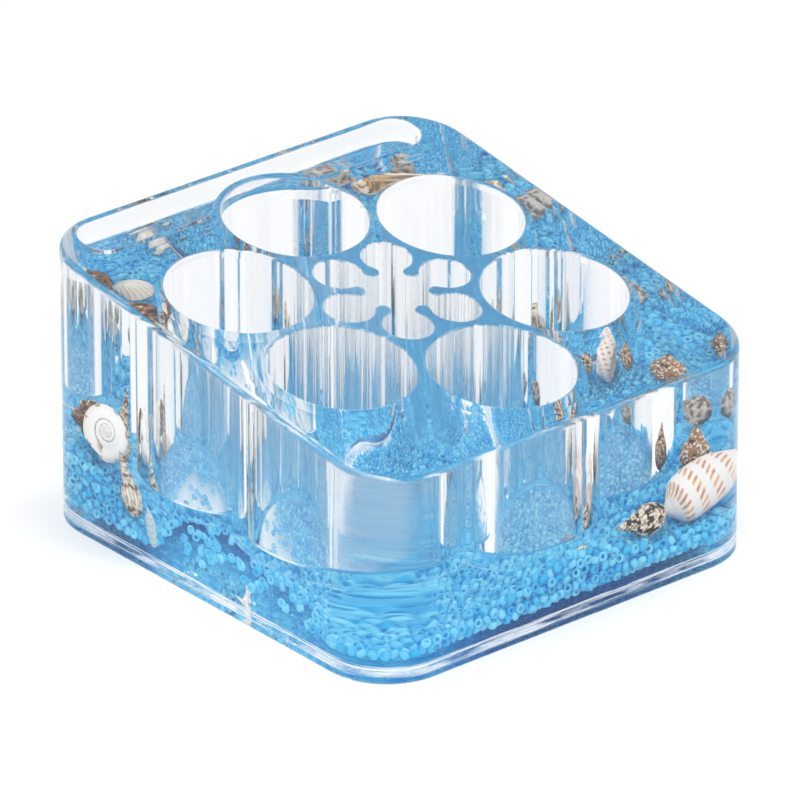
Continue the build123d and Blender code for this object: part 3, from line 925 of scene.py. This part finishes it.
# A bead's section: radius and height on a bead of radius 1
RING_PROFILE = np.array([
    (0.43, -0.34), (0.60, -0.64), (0.84, -0.60), (0.99, -0.25),
    (0.99, 0.25), (0.84, 0.60), (0.60, 0.64), (0.43, 0.34),
])
RING_SIDES = 12
BEADS_IN_PIECE = 1000
BEAD_SIZES = (0.92, 1.04)
BEAD_LIGHT = linear(140, 229, 250)
BEAD_DEEP = linear(44, 190, 238)
FLOOR_GAP = 0.02


def ring_bead():
    angle = np.linspace(0, 2 * np.pi, RING_SIDES, endpoint=False)
    radius, height = RING_PROFILE.T
    x = np.outer(radius, np.cos(angle))
    y = np.outer(radius, np.sin(angle))
    points = np.stack([x, y, height[:, None] + 0 * angle], axis=-1)
    grid = np.arange(points.shape[0] * RING_SIDES).reshape(-1, RING_SIDES)
    below = np.roll(grid, -1, axis=0)
    quads = np.stack([grid, np.roll(grid, -1, axis=1), np.roll(below, -1, axis=1), below], axis=-1)
    return points.reshape(-1, 3), quads.reshape(-1, 4)


def random_turns(count):
    axis = chance.normal(size=(count, 3))
    axis /= np.linalg.norm(axis, axis=1, keepdims=True)
    side = np.cross(axis, chance.normal(size=(count, 3)))
    side /= np.linalg.norm(side, axis=1, keepdims=True)
    return np.stack([side, np.cross(axis, side), axis], axis=1)


def seed_beads():
    places = settled_places()
    places = places[np.argsort(places[:, 1])]
    form, quads = ring_bead()
    for number, start in enumerate(range(0, len(places), BEADS_IN_PIECE)):
        part = places[start:start + BEADS_IN_PIECE]
        turns = random_turns(len(part))
        sizes = BEAD_SCALE * chance.uniform(*BEAD_SIZES, (len(part), 1, 1))
        vertices = (sizes * np.einsum("vk,nkj->nvj", form, turns) + part[:, None, :]).reshape(-1, 3)
        vertices[:, 2] = np.maximum(vertices[:, 2], FLOOR + FLOOR_GAP)
        faces = (quads[None] + (np.arange(len(part)) * len(form))[:, None, None]).reshape(-1, 4)
        tone = np.repeat(chance.uniform(0, 1, len(part)), len(form))
        paint = BEAD_DEEP + (BEAD_LIGHT - BEAD_DEEP) * tone[:, None]
        new_piece(
            f"seed_beads_{number}", vertices, faces, paint, BEAD_PAINT, "holder",
            ["bead_bed", "loose_beads"],
        )


seed_beads()

# Floor, lights and camera, in metres
FLOOR_REACH = 4.0
FLOOR_LEVEL = -0.0006
FLOOR_PAINT = (0.97, 0.97, 0.97, 1.0)
FADE_START = 0.3
FADE_END = 0.8
WORLD_LIGHT = 0.75


def seen_as_background(tree):
    """1 for what the camera sees, straight or in gloss and clear pieces; 0 for light on the object."""
    path = tree.nodes.new("ShaderNodeLightPath")
    in_gloss = path.outputs["Is Glossy Ray"]
    in_glass = math_node(tree, "MAXIMUM", in_gloss, path.outputs["Is Transmission Ray"])
    return math_node(tree, "MAXIMUM", path.outputs["Is Camera Ray"], in_glass)


def plain_floor():
    """A pale floor that takes the object's shadow and fades to white far away."""
    mesh = bpy.data.meshes.new("floor")
    sides = ((-1, -1), (1, -1), (1, 1), (-1, 1))
    corners = [(x * FLOOR_REACH, y * FLOOR_REACH, FLOOR_LEVEL) for x, y in sides]
    mesh.from_pydata(corners, [], [(0, 1, 2, 3)])
    floor = bpy.data.objects.new("floor", mesh)
    scene.collection.objects.link(floor)
    material, tree = new_material("white_floor")
    paint = add(tree, "ShaderNodeBsdfDiffuse", Color=FLOOR_PAINT)
    white = add(tree, "ShaderNodeEmission", Color=WHITE, Strength=1.0)
    away = tree.nodes.new("ShaderNodeVectorMath")
    away.operation = "LENGTH"
    feed(tree, away.inputs[0], object_place(tree))
    fade = add(
        tree, "ShaderNodeMapRange", Value=away.outputs["Value"], From_Min=FADE_START, From_Max=FADE_END
    )
    backdrop = math_node(tree, "MULTIPLY", fade.outputs["Result"], seen_as_background(tree))
    finish_material(tree, mix_shaders(tree, backdrop, paint.outputs[0], white.outputs[0]))
    mesh.materials.append(material)


def area_light(name, place, power, size):
    light = bpy.data.lights.new(name, "AREA")
    light.energy = power
    light.size = size
    holder = bpy.data.objects.new(name, light)
    holder.location = place
    holder.rotation_mode = "QUATERNION"
    holder.rotation_quaternion = (-Vector(place)).to_track_quat("-Z", "Y")
    scene.collection.objects.link(holder)


def studio_world():
    """Even light from all round, which is white where it is seen."""
    world = bpy.data.worlds.new("studio")
    scene.world = world
    world.use_nodes = True
    tree = world.node_tree
    tree.nodes.clear()
    lit = add(tree, "ShaderNodeBackground", Color=WHITE, Strength=WORLD_LIGHT)
    white = add(tree, "ShaderNodeBackground", Color=WHITE, Strength=1.0)
    out = tree.nodes.new("ShaderNodeOutputWorld")
    seen = mix_shaders(tree, seen_as_background(tree), lit.outputs[0], white.outputs[0])
    feed(tree, out.inputs["Surface"], seen)


CAMERA_AZIMUTH = math.radians(-40.10)
CAMERA_ELEVATION = math.radians(26.04)
CAMERA_DISTANCE = 2.138
CAMERA_LENS = 448.2
CAMERA_SENSOR = 36.0
AIM_UP = 0.02756
AIM_RIGHT = 0.00022


def photo_camera():
    back = Vector((
        math.sin(CAMERA_AZIMUTH) * math.cos(CAMERA_ELEVATION),
        -math.cos(CAMERA_AZIMUTH) * math.cos(CAMERA_ELEVATION),
        math.sin(CAMERA_ELEVATION),
    ))
    right = Vector((math.cos(CAMERA_AZIMUTH), math.sin(CAMERA_AZIMUTH), 0))
    up = back.cross(right)
    data = bpy.data.cameras.new("camera")
    data.lens = CAMERA_LENS
    data.sensor_width = CAMERA_SENSOR
    data.clip_start = 0.05
    data.clip_end = 20.0
    camera = bpy.data.objects.new("camera", data)
    camera.rotation_mode = "QUATERNION"
    camera.location = up * AIM_UP + right * AIM_RIGHT + back * CAMERA_DISTANCE
    camera.rotation_quaternion = Matrix((right, up, back)).transposed().to_quaternion()
    scene.collection.objects.link(camera)
    scene.camera = camera


plain_floor()
area_light("key", place=(-0.55, -0.45, 1.0), power=6.0, size=0.7)
area_light("fill", place=(0.75, -0.65, 0.95), power=3.5, size=0.8)
studio_world()
photo_camera()

scene.view_settings.view_transform = "Standard"
scene.cycles.max_bounces = 32
scene.cycles.transmission_bounces = 28
scene.cycles.glossy_bounces = 16
scene.cycles.diffuse_bounces = 8
scene.cycles.transparent_max_bounces = 32
scene.cycles.sample_clamp_indirect = 8.0
